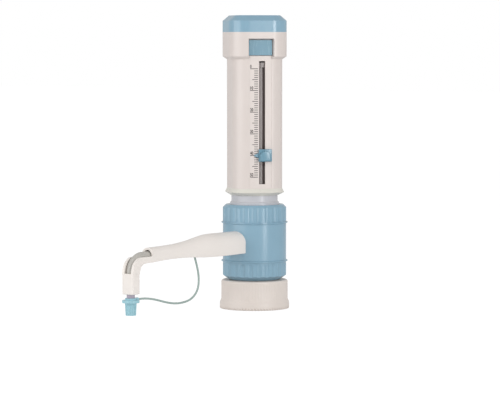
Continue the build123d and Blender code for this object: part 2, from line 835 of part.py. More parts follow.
# Ribs that hold the tube inside the spout's cover
with BuildPart() as cover_ribs:
    for reach, width, height in spout_sections:
        with BuildSketch(spout_plane(reach)):
            arch(width, spout_bottom, spout_bottom + height)
    loft()
    with BuildSketch(side_view):
        for reach in rib_reaches:
            with Locations((reach, tube_level)):
                Rectangle(rib_thickness, 2 * housing_r)
        with Locations((tether_route[0][0], tube_level)):
            Rectangle(anchor_thickness, 2 * housing_r)
    extrude(amount=housing_r, both=True, mode=Mode.INTERSECT)

# White cover that carries the discharge tube
with BuildPart() as discharge_cover:
    for reach, width, height in spout_sections:
        with BuildSketch(spout_plane(reach)):
            arch(width, spout_bottom, spout_bottom + height)
    loft()
    # hollow around the tube, open downwards as far as the bend, then a tunnel to the mouth
    for reach, width, height in spout_sections:
        inner_reach = min(max(reach, housing_r + root_wall), bend_start_reach)
        with BuildSketch(spout_plane(inner_reach)):
            arch(width - 2 * spout_wall, spout_bottom - 1, spout_bottom + height - spout_wall)
    loft(mode=Mode.SUBTRACT)
    add(cover_ribs.part)
    channel_width = spout_sections[-1][1] - 2 * spout_wall
    channel_floor = tube_level - tube_r - free_gap
    mouth_top = spout_bottom + spout_sections[-1][2]
    with BuildSketch(spout_plane(bend_start_reach - 0.5)):
        with Locations((0, (channel_floor + mouth_top - spout_wall) / 2)):
            Rectangle(channel_width, mouth_top - spout_wall - channel_floor)
    extrude(amount=spout_mouth_reach - bend_start_reach + 1, mode=Mode.SUBTRACT)
    # root that follows the housing, and the plug that fills its side port
    with BuildSketch(Plane.XY):
        Circle(housing_r + fit_clearance)
    extrude(amount=sleeve_top, mode=Mode.SUBTRACT)
    with BuildSketch(spout_plane(housing_r - spout_plug_length)):
        with Locations((0, tube_level)):
            Circle(spout_plug_r)
    extrude(amount=spout_plug_length + root_wall)
    # bend and end block
    with BuildSketch(side_view):
        with BuildLine():
            Polyline(
                (spout_mouth_reach - 0.5, bend_wall_top),
                (spout_mouth_reach - 0.5, spout_bottom),
                (end_block_inner - spout_inner_r, spout_bottom),
            )
            RadiusArc(
                (end_block_inner - spout_inner_r, spout_bottom),
                (end_block_inner, spout_bottom - spout_inner_r),
                spout_inner_r,
            )
            Polyline(
                (end_block_inner, spout_bottom - spout_inner_r),
                (end_block_inner, end_block_bottom),
                (end_block_outer, end_block_bottom),
                (end_block_outer, end_block_top),
                bend_wall_route[0],
            )
            ThreePointArc(*bend_wall_route)
            Line(bend_wall_route[-1], (spout_mouth_reach - 0.5, bend_wall_top))
        make_face()
    extrude(amount=channel_width / 2 + spout_wall, both=True)
    # channel for the tube, open towards the outside of the bend
    floor_r = tube_bend_r - tube_r - free_gap
    floor_turn = asin((end_block_top - tube_level + tube_bend_r) / floor_r)
    floor_end = (tube_bend_reach + floor_r * cos(floor_turn), end_block_top)
    with BuildSketch(side_view):
        with BuildLine():
            Polyline(
                floor_end,
                (end_block_outer + 1, end_block_top),
                (end_block_outer + 1, mouth_top + 1),
                (spout_mouth_reach, mouth_top + 1),
                (spout_mouth_reach, channel_floor),
                (tube_bend_reach, channel_floor),
            )
            RadiusArc((tube_bend_reach, channel_floor), floor_end, floor_r)
        make_face()
    extrude(amount=channel_width / 2, both=True, mode=Mode.SUBTRACT)
    # hole for the tube
    bore_route = tube_path()
    with BuildSketch(spout_plane(tube_start_reach)):
        with Locations((0, tube_level)):
            Circle(tube_r + tube_clearance)
    sweep(path=bore_route, mode=Mode.SUBTRACT)
    # hole for the tether
    anchor_reach, anchor_level = tether_route[0]
    next_reach, next_level = tether_route[1]
    anchor_direction = Vector(anchor_reach - next_reach, 0, next_level - anchor_level)
    with BuildSketch(Plane(origin=(-anchor_reach, 0, anchor_level), z_dir=anchor_direction)):
        Circle(tether_r + fit_clearance)
    extrude(amount=tether_r * 4, mode=Mode.SUBTRACT)
finish(discharge_cover.part, "discharge_cover")

# Nozzle cap
nozzle_plane = Plane(origin=(-nozzle_reach, 0, 0), x_dir=(1, 0, 0), z_dir=(0, -1, 0))
with BuildPart() as cap_rib:
    with BuildSketch(Plane.XY.offset(cap_barrel_bottom)):
        with Locations((cap_barrel_bottom_r, 0)):
            Circle(cap_rib_r)
    with BuildSketch(Plane.XY.offset(cap_flange_bottom)):
        with Locations((cap_barrel_top_r, 0)):
            Circle(cap_rib_r)
    loft()

with BuildPart() as nozzle_cap:
    cap_rim_bottom = cap_flange_bottom + cap_flange_thickness
    cap_rim_top = cap_rim_bottom + cap_rim_height
    with BuildSketch(nozzle_plane):
        profile(
            (0, cap_barrel_bottom),
            (cap_barrel_bottom_r, cap_barrel_bottom),
            (cap_barrel_top_r, cap_flange_bottom),
            (cap_flange_r, cap_flange_bottom),
            (cap_flange_r, cap_rim_bottom),
            (cap_rim_r, cap_rim_bottom),
            (cap_rim_r, cap_rim_top),
            (0, cap_rim_top),
        )
    revolve(axis=Axis((-nozzle_reach, 0, 0), (0, 0, 1)))
    with Locations((-nozzle_reach, 0, 0)):
        with PolarLocations(0, cap_rib_count):
            add(cap_rib.part)
    # ear that takes the tether
    with BuildSketch(Plane.YZ.offset(cap_rim_r - nozzle_reach - 0.2)):
        with Locations((0, tether_route[-1][1])):
            Circle(ear_r)
    extrude(amount=cap_flange_r - cap_rim_r + ear_length + 0.2)
    with BuildSketch(Plane.XY.offset(cap_rim_top)):
        with Locations((-nozzle_reach, 0)):
            Circle(tube_r + running_clearance)
    extrude(amount=-cap_bore_depth, mode=Mode.SUBTRACT)
finish(nozzle_cap.part, "nozzle_cap")


def bend_radii(points):
    """Radii for the corners of a route, from the shorter run beside each and its turn."""
    radii = []
    for before, corner, after in zip(points, points[1:], points[2:]):
        run_in = Vector(*corner) - Vector(*before)
        run_out = Vector(*after) - Vector(*corner)
        half_turn = radians(run_in.get_angle(run_out)) / 2
        radii.append(0.45 * min(run_in.length, run_out.length) / tan(half_turn))
    return radii


# Tether between the spout's cover and the nozzle cap
tether_radii = bend_radii(tether_route)
print("tether radii:", [round(value, 2) for value in tether_radii])
with BuildPart() as cap_tether:
    with BuildLine(side_view) as tether_line:
        FilletPolyline(*tether_route, radius=tether_radii)
    with BuildSketch(Plane(origin=(-anchor_reach, 0, anchor_level), z_dir=anchor_direction)):
        Circle(tether_r)
    sweep(path=tether_line.line)
    print("tether length:", round(sum(edge.length for edge in tether_line.edges()), 1))
finish(cap_tether.part, "cap_tether")
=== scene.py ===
# A bottle-top dispenser in moulded plastic: blue housing, off-white shroud and spout.
# Metres, in the part's own frame: the origin is on the collar's lower edge, +Z is up
# and the spout points along -X.

import math

import bmesh
import bpy
from mathutils import Matrix, Vector


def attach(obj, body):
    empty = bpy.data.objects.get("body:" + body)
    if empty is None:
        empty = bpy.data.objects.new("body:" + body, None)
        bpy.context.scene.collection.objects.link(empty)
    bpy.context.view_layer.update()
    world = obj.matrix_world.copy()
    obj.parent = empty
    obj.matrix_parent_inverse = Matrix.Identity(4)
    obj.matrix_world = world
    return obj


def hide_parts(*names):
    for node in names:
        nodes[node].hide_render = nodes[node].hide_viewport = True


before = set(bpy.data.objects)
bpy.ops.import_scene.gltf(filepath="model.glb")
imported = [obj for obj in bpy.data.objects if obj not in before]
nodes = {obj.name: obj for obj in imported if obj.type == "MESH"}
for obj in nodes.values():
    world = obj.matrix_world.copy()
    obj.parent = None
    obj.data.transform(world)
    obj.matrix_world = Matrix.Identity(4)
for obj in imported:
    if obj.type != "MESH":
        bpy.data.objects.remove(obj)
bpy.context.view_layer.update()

MM = 0.001

# Lengths are in millimetres and angles in degrees, where no comment says metres

# Sizes shared with the part's source
bottle_thread_r = 22.8
collar_bore_length = 13.9
collar_chamber_r = 22.3
collar_ceiling = 19.5
collar_hole_r = 18.58
collar_r = 26.3
collar_height = 22.7
collar_corner_r = 1.6
skirt_r = 27.5
skirt_height = 6.5
shroud_turn = 50.8
panel_distance = 19.9
slot_left = -1.15
zero_mark = 189.397
mark_pitch = 1.69593
mark_count = 51

# Printed scale
mark_gap = 0.95  # from the slot's edge
short_mark = 3.0
medium_mark = 4.6
medium_every = 5
long_mark = 6.3
long_every = 10
mark_stroke = 0.5
print_relief = 0.06
digit_height = 2.7
digit_width = 2.5  # of two digits
single_digit_share = 0.46  # of that width
number_lift = 1.1  # of a number over its line, in strokes
letter_extrusion = 0.02  # half the letters' thickness before they are fitted
letter_swell = 0.03

# Knurl, notches and thread of the collar
rib_count = 72
steps_per_rib = 8
notched_steps = (3, 4, 5)
rib_relief = 0.16
notch_height = 1.3
notch_depth = 0.55
thread_pitch = 4.0
thread_relief = 1.2
thread_turns = 2.4
thread_start = 2.2
thread_sink = 0.15  # of the ridge's middle into the wall

# Points on the round forms
round_steps = 48
half_round_steps = 24
corner_steps = 3
collar_corner_steps = 6

# Spout's cover: a hood from the housing to the mouth, a channel and an end block
spout_bottom = 45.0
hood_root = 22.8
hood_mouth = 133.7
hood_wall = 1.7
hood_recess = 9.0
hood_corner = 0.7
hood_slices = 72
rim_round = 0.5
rim_proud = 0.25
plug_r = 4.9
plug_end = 16.05
plug_overlap = 1.0
# share of the way, width, rise of the underside, height
hood_stations = [
    (0.0, 18.0, 0.0, 17.2),
    (0.198, 17.8, -0.3, 17.5),
    (0.367, 17.3, -0.2, 17.2),
    (0.476, 15.8, 0.2, 15.1),
    (0.584, 13.4, 0.9, 12.5),
    (0.703, 11.7, 1.2, 10.9),
    (0.832, 11.1, 1.0, 10.4),
    (1.0, 10.8, 0.0, 11.0),
]
channel_width = 10.7
channel_gap = 6.5
# underside, floor and wall's edge at each cut, as reach and height
channel_stations = [
    ((131.5, 45.15), (131.5, 46.9), (131.5, 49.6)),
    ((133.8, 45.05), (133.8, 46.9), (133.8, 49.7)),
    ((138.0, 45.0), (138.5, 46.9), (140.0, 49.7)),
    ((141.5, 44.9), (141.5, 46.85), (145.0, 49.7)),
    ((144.4, 44.4), (143.9, 46.3), (148.7, 49.5)),
    ((146.6, 43.2), (146.4, 44.9), (151.5, 48.3)),
    ((147.9, 41.5), (148.2, 43.0), (153.8, 46.4)),
    ((148.5, 39.8), (149.3, 40.8), (155.5, 44.1)),
    ((148.7, 38.5), (149.8, 39.2), (156.7, 40.8)),
    ((148.7, 37.3), (149.9, 37.3), (157.2, 37.3)),
]
block_inner = 148.6
block_outer = 157.5
block_bottom = 22.3
block_top = 37.9
block_squareness = 8  # power of the rounded rectangle
block_end_shares = (0.93, 0.94)  # what its eased ends keep of length and width
block_bottom_edge = 0.35
block_top_edge = 0.3
block_bore_gap = 0.1

# Discharge tube
tube_start = 12.1
tube_level = 50.2
tube_r = 3.1
tube_bore_r = 2.2
bend_r = 12.5
bend_steps = 24
tube_steps = 28
nozzle_reach = 153.3
nozzle_tip = 9.3
nozzle_chamfer = 0.3
nozzle_chamfer_height = 0.4
nozzle_bore_length = 9.0

# Slider: a plate on the panel with a round-topped button, across and up from the pointer
pointer_level = 121.56
plate_left = -1.7
plate_right = 8.75
plate_half_height = 4.9
plate_back = 20.1
plate_front = 22.0
plate_corner = 0.6
# depth behind the front, share of the outline
plate_edge = [(0.4, 1.0), (0.1, 0.975), (0.0, 0.94)]
button_left = -1.4
button_right = 7.5
button_top = 3.7
button_front = 24.7
button_margin = 0.15  # over the plate's lower edge
button_edge = [(1.0, 0.98), (0.4, 0.93), (0.1, 0.86), (0.0, 0.76)]
stem_left = -0.85
stem_right = 3.45
stem_low = -3.9
stem_high = 0.8
stem_back = 18.25
stem_corner = 0.3
pointer_end = -5.2
pointer_half_root = 2.1
pointer_half_tip = 0.5
pointer_thickness = 0.7
slider_overlap = 0.3  # of its solids with the plate

# Tether, as reach from the axis and height
tether_diameter = 1.6
tether_route = [
    (76.9, 46.2),
    (73.6, 38.4),
    (71.4, 30.5),
    (71.5, 23.0),
    (74.4, 17.3),
    (80.6, 13.1),
    (88.3, 11.4),
    (97.3, 11.0),
    (106.0, 11.9),
    (114.5, 13.7),
    (123.2, 15.9),
    (131.6, 17.4),
    (138.6, 18.1),
    (145.0, 18.1),
]

# Camera, at the photograph's angle, with its distance and height in metres
camera_azimuth = -53.0
camera_distance = 2.05
camera_height = 0.208
camera_pitch = 3.42
focal_pixels = 2595.0
picture_width = 500.0
sensor_width = 36.0
axis_offset = 4.5  # pixels right of the picture's middle

# Finishes: refraction, and the width of the patches that vary in tint and in gloss
polyester_ior = 1.55
polypropylene_ior = 1.49
fluoropolymer_ior = 1.38
tint_patch = 22.0
scuff_width = 1.6
scuff_stretch = 0.12
turning_pitch = 0.6  # coarser than real tool marks, so that they show
glass_wave = 6.0
glass_wave_stretch = 0.05
glass_wave_depth = 0.02
# The sleeve is painted dark as shade above this height.
sleeve_painted_shade_from = 97.0  # just inside the shroud at rest
# The tube is painted warm grey as shade above this height.
tube_painted_shade_from = 23.0  # just inside the end block

# Floor, surroundings and lamps, in metres
floor_reach = 8.0
floor_level = -0.0003
floor_glow_share = 0.78
floor_glow = 1.16
ambient_strength = 0.62
lamp_target = Vector((0.0, 0.0, 0.12))

panel_angle = math.radians(180.0 + shroud_turn)
panel_normal = Vector((math.cos(panel_angle), math.sin(panel_angle), 0.0))
panel_right = Vector((-math.sin(panel_angle), math.cos(panel_angle), 0.0))


def linear(code):
    """A colour for a node, from its sRGB hex value."""
    channels = [int(code[start:start + 2], 16) / 255 for start in (1, 3, 5)]
    return (*[c / 12.92 if c <= 0.04045 else ((c + 0.055) / 1.055) ** 2.4 for c in channels], 1.0)


def add_node(tree, kind, inputs=None, **settings):
    """A node with its settings, whose inputs are values or the outputs that feed them."""
    made = tree.nodes.new(kind)
    for name, value in settings.items():
        setattr(made, name, value)
    for name, value in (inputs or {}).items():
        if isinstance(value, bpy.types.NodeSocket):
            tree.links.new(value, made.inputs[name])
        else:
            made.inputs[name].default_value = value
    return made


def blank_material(name):
    """A material whose node tree is empty."""
    material = bpy.data.materials.new(name)
    material.use_nodes = True
    material.node_tree.nodes.clear()
    return material


def moulded_plastic(name, colour, deep, roughness, ior, grain, relief, scuffs=0.05, upper=None):
    """An opaque thermoplastic from a polished or finely eroded mould.

    colour and deep are the light and the dark end of its faint patches.
    grain is the width of the mould's texture and relief its height, in millimetres.
    A real mould's texture is several times finer: it is this coarse so that it shows.
    upper is the height above which a second colour is painted on as shade, where the piece runs
    inside another, and that colour.
    """
    material = blank_material(name)
    tree = material.node_tree
    place = add_node(tree, "ShaderNodeTexCoord").outputs["Object"]
    flow = add_node(
        tree,
        "ShaderNodeTexNoise",
        {"Vector": place, "Scale": 1 / (tint_patch * MM), "Detail": 3.0, "Roughness": 0.5},
    )
    tint = add_node(
        tree,
        "ShaderNodeMix",
        {"Factor": flow.outputs["Fac"], 6: linear(deep), 7: linear(colour)},
        data_type="RGBA",
    )
    base = tint.outputs[2]
    # Painted shade: a second colour above a height, where the piece runs inside another.
    if upper:
        level, second = upper
        height = add_node(tree, "ShaderNodeSeparateXYZ", {"Vector": place}).outputs["Z"]
        above = add_node(
            tree,
            "ShaderNodeMath",
            {0: height, 1: level * MM},
            operation="GREATER_THAN",
        )
        painted_shade_blend = {"Factor": above.outputs[0], 6: base, 7: linear(second)}
        base = add_node(tree, "ShaderNodeMix", painted_shade_blend, data_type="RGBA").outputs[2]
    eroded = add_node(
        tree,
        "ShaderNodeTexNoise",
        {"Vector": place, "Scale": 1 / (grain * MM), "Detail": 2.0, "Roughness": 0.6},
    )
    stretch = add_node(
        tree,
        "ShaderNodeMapping",
        {"Vector": place, "Scale": (1.0, 1.0, scuff_stretch)},
    )
    scuff = add_node(
        tree,
        "ShaderNodeTexNoise",
        {"Vector": stretch.outputs["Vector"], "Scale": 1 / (scuff_width * MM), "Detail": 4.0},
    )
    dullness = add_node(
        tree,
        "ShaderNodeMapRange",
        {
            "Value": scuff.outputs["Fac"],
            "From Min": 0.35,
            "From Max": 0.7,
            "To Min": roughness - scuffs,
            "To Max": roughness + scuffs,
        },
    )
    bump = add_node(
        tree,
        "ShaderNodeBump",
        {"Height": eroded.outputs["Fac"], "Strength": 0.6, "Distance": relief * MM},
    )
    shader = add_node(
        tree,
        "ShaderNodeBsdfPrincipled",
        {
            "Base Color": base,
            "Roughness": dullness.outputs["Result"],
            "Normal": bump.outputs["Normal"],
            "IOR": ior,
        },
    )
    add_node(tree, "ShaderNodeOutputMaterial", {"Surface": shader.outputs["BSDF"]})
    return material


# Injection-moulded polyester from a polished mould: clear highlights on an even blue.
blue_polyester = moulded_plastic(
    "blue polyester, moulded", "#87a9bc", "#7fa2b5",
    roughness=0.18, ior=polyester_ior, grain=0.5, relief=0.003,
)
# The same plastic on the small flat pieces, painted a darker blue as shade: the tile deep in its
# pocket, and the slider.
tile_polyester_painted_shade = moulded_plastic(
    "blue polyester with painted shade, tile", "#6a93a6", "#628b9e",
    roughness=0.26, ior=polyester_ior, grain=0.5, relief=0.004,
)
# Moulded polypropylene with a fine eroded texture: a warm grey-white with soft highlights.
shroud_polypropylene = moulded_plastic(
    "off-white polypropylene, shroud", "#d6cdc8", "#d0c6c1",
    roughness=0.34, ior=polypropylene_ior, grain=0.45, relief=0.006,
)
# The same plastic at the shroud's lower edge: creamier, and a little glossier.
lip_polypropylene = moulded_plastic(
    "cream polypropylene, guide ring", "#d8d5cc", "#d2cfc6",
    roughness=0.32, ior=polypropylene_ior, grain=0.45, relief=0.004,
)
# The same plastic in the spout: nearly white, with broad soft highlights on its arch.
spout_polypropylene = moulded_plastic(
    "white polypropylene, spout", "#e9e3de", "#e4ddd7",
    roughness=0.36, ior=polypropylene_ior, grain=0.45, relief=0.005,
)
# The same plastic from a rougher mould: ivory and almost matt.
collar_polypropylene = moulded_plastic(
    "ivory polypropylene, collar", "#ddd4cd", "#d6ccc5",
    roughness=0.42, ior=polypropylene_ior, grain=0.45, relief=0.008,
)
# Turned fluoropolymer: natural white and waxy, with dim highlights.
inner_fluoropolymer = moulded_plastic(
    "natural fluoropolymer, turned", "#dedad4", "#d6d1c9",
    roughness=0.38, ior=fluoropolymer_ior, grain=0.3, relief=0.004,
)
# Moulded polypropylene in a thin wall: a paler and livelier blue than the housing's.
cap_polypropylene = moulded_plastic(
    "pale blue polypropylene, nozzle cap", "#9cc6d1", "#94bfca",
    roughness=0.34, ior=polypropylene_ior, grain=0.4, relief=0.005,
)
# Extruded polypropylene: an even, dull grey-green.
tether_polypropylene = moulded_plastic(
    "grey-green polypropylene, tether", "#a0b1ac", "#98a9a4",
    roughness=0.4, ior=polypropylene_ior, grain=0.3, relief=0.003,
)
# Extruded fluoropolymer: lilac at the bare nozzle, and painted warm grey as shade where the tube
# runs inside the spout.
tube_fluoropolymer_painted_shade = moulded_plastic(
    "fluoropolymer with painted shade, extruded tube", "#b7adba", "#ada3b1",
    roughness=0.26, ior=fluoropolymer_ior, grain=0.3, relief=0.002,
    upper=(tube_painted_shade_from, "#b5b2ac"),
)
# Turned fluoropolymer: light grey at its foot, and painted a dark grey-brown above it as shade,
# where it shows through the slot inside the shroud.
sleeve_fluoropolymer_painted_shade = moulded_plastic(
    "grey fluoropolymer with painted shade, sleeve", "#c6c6cb", "#bcbcc1",
    roughness=0.2, ior=1.42, grain=0.6, relief=0.003,
    upper=(sleeve_painted_shade_from, "#756b69"),
)
# Pressed rubber: pale and matt.
gasket_rubber = moulded_plastic(
    "pale rubber, gasket", "#c9c6bf", "#c0bdb6",
    roughness=0.62, ior=1.52, grain=0.25, relief=0.01,
)
# Screen-printed ink: a flat dark grey, duller than the plastic under it.
printing_ink = moulded_plastic(
    "dark grey printing ink", "#3f3938", "#363130",
    roughness=0.45, ior=1.5, grain=0.3, relief=0.002,
)


def turned_stainless_steel():
    """Stainless steel turned on a lathe: fine rings that stretch its highlights."""
    material = blank_material("stainless steel, turned")
    tree = material.node_tree
    place = add_node(tree, "ShaderNodeTexCoord").outputs["Object"]
    rings = add_node(
        tree,
        "ShaderNodeTexWave",
        {"Vector": place, "Scale": 1 / (turning_pitch * MM), "Distortion": 1.5, "Detail": 3.0},
        wave_type="RINGS",
        rings_direction="Z",
    )
    dullness = add_node(
        tree,
        "ShaderNodeMapRange",
        {"Value": rings.outputs["Fac"], "To Min": 0.22, "To Max": 0.36},
    )
    shader = add_node(
        tree,
        "ShaderNodeBsdfPrincipled",
        {"Base Color": linear("#b9babd"), "Metallic": 1.0, "Roughness": dullness.outputs["Result"]},
    )
    add_node(tree, "ShaderNodeOutputMaterial", {"Surface": shader.outputs["BSDF"]})
    return material


def borosilicate_glass():
    """Drawn borosilicate tube: clear, with faint waves along its length."""
    material = blank_material("borosilicate glass, drawn")
    tree = material.node_tree
    place = add_node(tree, "ShaderNodeTexCoord").outputs["Object"]
    stretch = add_node(
        tree,
        "ShaderNodeMapping",
        {"Vector": place, "Scale": (1.0, 1.0, glass_wave_stretch)},
    )
    waves = add_node(
        tree,
        "ShaderNodeTexNoise",
        {"Vector": stretch.outputs["Vector"], "Scale": 1 / (glass_wave * MM), "Detail": 1.0},
    )
    bump = add_node(
        tree,
        "ShaderNodeBump",
        {"Height": waves.outputs["Fac"], "Strength": 0.3, "Distance": glass_wave_depth * MM},
    )
    shader = add_node(
        tree,
        "ShaderNodeBsdfPrincipled",
        {
            "Base Color": linear("#eef4f5"),
            "Roughness": 0.03,
            "IOR": 1.47,
            "Transmission Weight": 0.95,
            "Normal": bump.outputs["Normal"],
        },
    )
    add_node(tree, "ShaderNodeOutputMaterial", {"Surface": shader.outputs["BSDF"]})
    return material


turned_steel = turned_stainless_steel()
drawn_glass = borosilicate_glass()

finishes = {
    "base_adapter": inner_fluoropolymer,
    "bottle_gasket": gasket_rubber,
    "lower_ring": blue_polyester,
    "valve_housing": blue_polyester,
    "valve_core": inner_fluoropolymer,
    "intake_valve": inner_fluoropolymer,
    "intake_ball": drawn_glass,
    "ball_stop_pin": turned_steel,
    "discharge_ball": drawn_glass,
    "discharge_plug": inner_fluoropolymer,
    "upper_ring": blue_polyester,
    "cylinder_seal": gasket_rubber,
    "glass_cylinder": drawn_glass,
    "sleeve": sleeve_fluoropolymer_painted_shade,
    "piston_head": inner_fluoropolymer,
    "piston_seals": inner_fluoropolymer,
    "piston_rod": inner_fluoropolymer,
    "rod_washer": turned_steel,
    "rod_screw": turned_steel,
    "shroud": shroud_polypropylene,
    "guide_ring": lip_polypropylene,
    "top_cap": blue_polyester,
    "calibration_cover": tile_polyester_painted_shade,
    "calibration_screw": turned_steel,
    "slider_lug": inner_fluoropolymer,
    "nozzle_cap": cap_polypropylene,
}
for name, material in finishes.items():
    nodes[name].data.materials.clear()
    nodes[name].data.materials.append(material)

# Camera
azimuth = math.radians(camera_azimuth)
pitch = math.radians(camera_pitch)
back = Vector((math.sin(azimuth), -math.cos(azimuth), 0.0))
right = Vector((-back.y, back.x, 0.0))
camera = bpy.data.objects.new("camera", bpy.data.cameras.new("camera"))
bpy.context.scene.collection.objects.link(camera)
bpy.context.scene.camera = camera
camera.data.sensor_width = sensor_width
camera.data.lens = sensor_width * focal_pixels / picture_width
camera.data.clip_start = 0.1
camera.data.clip_end = 50.0
camera.location = back * camera_distance + Vector((0.0, 0.0, camera_height))
forward = -back * math.cos(pitch) - Vector((0.0, 0.0, math.sin(pitch)))
forward -= right * axis_offset / focal_pixels
camera.rotation_mode = "QUATERNION"
camera.rotation_quaternion = forward.to_track_quat("-Z", "Y")


def new_piece(name, mesh, body):
    """An object for a finished mesh or curve, riding on its body."""
    piece = bpy.data.objects.new(name, mesh)
    bpy.context.scene.collection.objects.link(piece)
    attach(piece, body)
    return piece


def hanging_tether():
    """The tether as a round cord on a smooth curve, from the spout to the nozzle cap's ear."""
    curve = bpy.data.curves.new("tether", "CURVE")
    curve.dimensions = "3D"
    curve.resolution_u = 12
    curve.bevel_depth = tether_diameter / 2 * MM
    curve.bevel_resolution = 5
    curve.use_fill_caps = True
    spline = curve.splines.new("NURBS")
    spline.points.add(len(tether_route) - 1)
    for point, (reach, height) in zip(spline.points, tether_route):
        point.co = (-reach * MM, 0.0, height * MM, 1.0)
    spline.order_u = 3
    spline.use_endpoint_u = True
    curve.materials.append(tether_polypropylene)
    return curve


tether = new_piece("tether", hanging_tether(), "valve")
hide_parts("cap_tether")


def skin(mesh_builder, rings, loop=False):
    """Joins rings of equally many points into a closed surface, with flat ends or as a loop."""
    made = [[mesh_builder.verts.new([c * MM for c in point]) for point in ring] for ring in rings]
    following = made[1:] + made[:1] if loop else made[1:]
    for ring, after in zip(made, following):
        for index in range(len(ring)):
            beside = (index + 1) % len(ring)
            mesh_builder.faces.new((ring[index], ring[beside], after[beside], after[index]))
    if not loop:
        mesh_builder.faces.new(made[0])
        mesh_builder.faces.new(made[-1][::-1])


def finished_mesh(name, mesh_builder, material, sharp_angle):
    """A smooth mesh with outward normals, sharp where its faces meet at more than the angle."""
    bmesh.ops.recalc_face_normals(mesh_builder, faces=mesh_builder.faces)
    for face in mesh_builder.faces:
        face.smooth = True
    mesh = bpy.data.meshes.new(name)
    mesh_builder.to_mesh(mesh)
    mesh_builder.free()
    mesh.materials.append(material)
    mesh.set_sharp_from_angle(angle=math.radians(sharp_angle))
    return mesh


def full_turn(steps):
    """The angles of evenly spaced points round a circle."""
    return [2 * math.pi * step / steps for step in range(steps)]


def arc(x, y, r, start, sweep, steps):
    """The points of an arc round a centre, from its start over its sweep."""
    turns = [math.radians(start + sweep * step / steps) for step in range(steps + 1)]
    return [(x + r * math.cos(turn), y + r * math.sin(turn)) for turn in turns]


def half_round(x, y, r):
    """The points of a half circle, from its right end over the top to its left end."""
    return arc(x, y, r, 0, 180, half_round_steps)


def quarter_round(x, y, r, start):
    """The points of a rounded corner, from its start."""
    return arc(x, y, r, start, 90, corner_steps)


def arch(reach, half_width, low, high, corner):
    """A ring with a half-round top and rounded lower corners, across the spout."""
    ring = quarter_round(-half_width + corner, low + corner, corner, 180)
    ring += quarter_round(half_width - corner, low + corner, corner, 270)
    ring += half_round(0.0, high - half_width, half_width)
    return [(-reach, y, z) for y, z in ring]


def smooth_between(stations, share):
    """The sizes at a share of the way, on a curve through the stations."""
    index = max(i for i, station in enumerate(stations[:-1]) if station[0] <= share)
    before, low, high, after = (
        stations[max(index - 1, 0)],
        stations[index],
        stations[index + 1],
        stations[min(index + 2, len(stations) - 1)],
    )
    span = high[0] - low[0]
    t = (share - low[0]) / span
    sizes = []
    for item in range(1, len(low)):
        start_slope = (high[item] - before[item]) / (high[0] - before[0]) * span
        end_slope = (after[item] - low[item]) / (after[0] - low[0]) * span
        sizes.append(
            low[item] * (2 * t ** 3 - 3 * t ** 2 + 1)
            + start_slope * (t ** 3 - 2 * t ** 2 + t)
            + high[item] * (3 * t ** 2 - 2 * t ** 3)
            + end_slope * (t ** 3 - t ** 2)
        )
    return sizes


def hood_rings():
    """The tapered arch from the housing to the mouth, its rim and the recess behind it."""
    rings = []
    for step in range(hood_slices + 1):
        share = step / hood_slices
        width, rise, height = smooth_between(hood_stations, share)
        reach = hood_root + (hood_mouth - hood_root) * share
        low = spout_bottom + rise
        rings.append(arch(reach, width / 2, low, low + height, hood_corner))
    width, rise, height = hood_stations[-1][1:]
    low = spout_bottom + rise
    rim = ((rim_round, rim_proud), (hood_wall, 0.0), (hood_wall, -hood_recess))
    for inset, past in rim:
        half_width = width / 2 - inset
        rings.append(
            arch(hood_mouth + past, half_width, low + inset, low + height - inset, hood_corner)
        )
    return rings


def plug_rings():
    """The plug in the housing's side port, with the tube's bore through it."""
    inner_end = hood_root + plug_overlap
    cuts = ((plug_end, plug_r), (inner_end, plug_r), (inner_end, tube_r), (plug_end, tube_r))
    turns = full_turn(round_steps)
    return [
        [(-reach, r * math.cos(turn), tube_level + r * math.sin(turn)) for turn in turns]
        for reach, r in cuts
    ]


def channel_rings():
    """The open channel that follows the tube round the bend."""
    half = channel_width / 2
    inner = channel_gap / 2
    rings = []
    for under, bed, over in channel_stations:
        corners = [
            (-half, under), (half, under), (half, over), (inner, over),
            (inner, bed), (-inner, bed), (-inner, over), (-half, over),
        ]
        rings.append([(-reach, y, z) for y, (reach, z) in corners])
    return rings


def block_rings():
    """The end block: a rounded rectangle with eased edges and the tube's bore."""
    middle = (block_inner + block_outer) / 2
    half_length = (block_outer - block_inner) / 2
    half_width = channel_width / 2
    bore_r = tube_r + block_bore_gap
    outline = []
    bore = []
    for turn in full_turn(round_steps):
        along = math.cos(turn)
        across = math.sin(turn)
        power = block_squareness
        size = (abs(along) ** power + abs(across) ** power) ** (-1 / power)
        outline.append((middle + half_length * along * size, half_width * across * size))
        bore.append((nozzle_reach + bore_r * along, bore_r * across))
    length_share, width_share = block_end_shares
    eased = [(middle + (reach - middle) * length_share, y * width_share) for reach, y in outline]
    levels = [
        (eased, block_bottom), (outline, block_bottom + block_bottom_edge),
        (outline, block_top - block_top_edge), (eased, block_top),
        (bore, block_top), (bore, block_bottom),
    ]
    return [[(-reach, y, z) for reach, y in ring] for ring, z in levels]


def moulded_spout():
    """The spout's cover: an open-mouthed arch, a channel round the bend and the end block."""
    mesh_builder = bmesh.new()
    skin(mesh_builder, hood_rings())
    skin(mesh_builder, plug_rings(), loop=True)
    skin(mesh_builder, channel_rings())
    skin(mesh_builder, block_rings(), loop=True)
    return finished_mesh("spout cover", mesh_builder, spout_polypropylene, sharp_angle=38)


